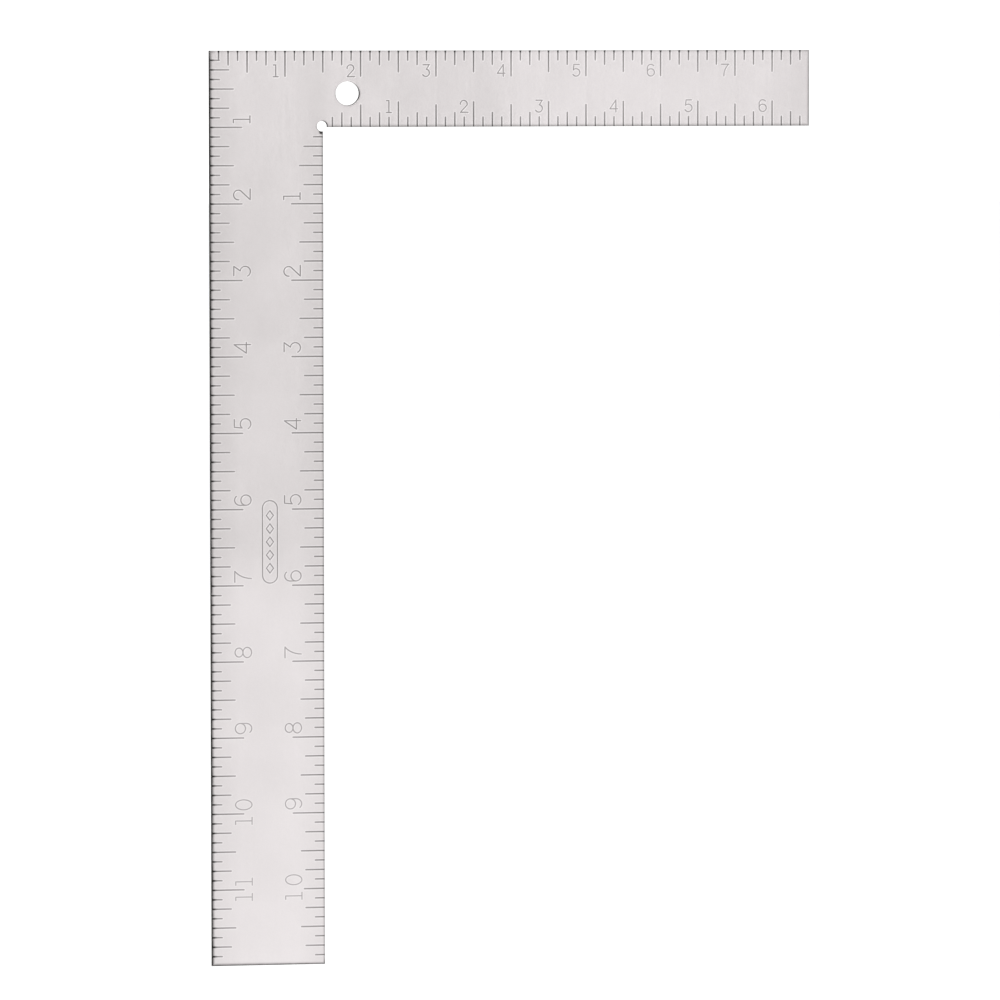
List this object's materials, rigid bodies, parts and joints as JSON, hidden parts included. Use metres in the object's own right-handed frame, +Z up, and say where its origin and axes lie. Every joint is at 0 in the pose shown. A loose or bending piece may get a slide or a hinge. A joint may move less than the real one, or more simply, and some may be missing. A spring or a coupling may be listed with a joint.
{
  "type": "flat steel carpenter's square",
  "caption": "Flat one-piece steel L-shaped carpenter's square with inch scales on all four edges, a round hang hole in the tongue and a small relief hole at the inner corner.",
  "frame": {"origin": "the outer heel corner, where both outer scales start, midway through the thickness", "axes": "+X along the tongue away from the heel, +Z up with the blade hanging down, -Y out of the numbered face"},
  "size_m": [0.2032, 0.002, 0.3048],
  "materials": {
    "steel": "satin"
  },
  "bodies": {
    "root": {"square_body": "steel"}
  },
  "joints": []
}
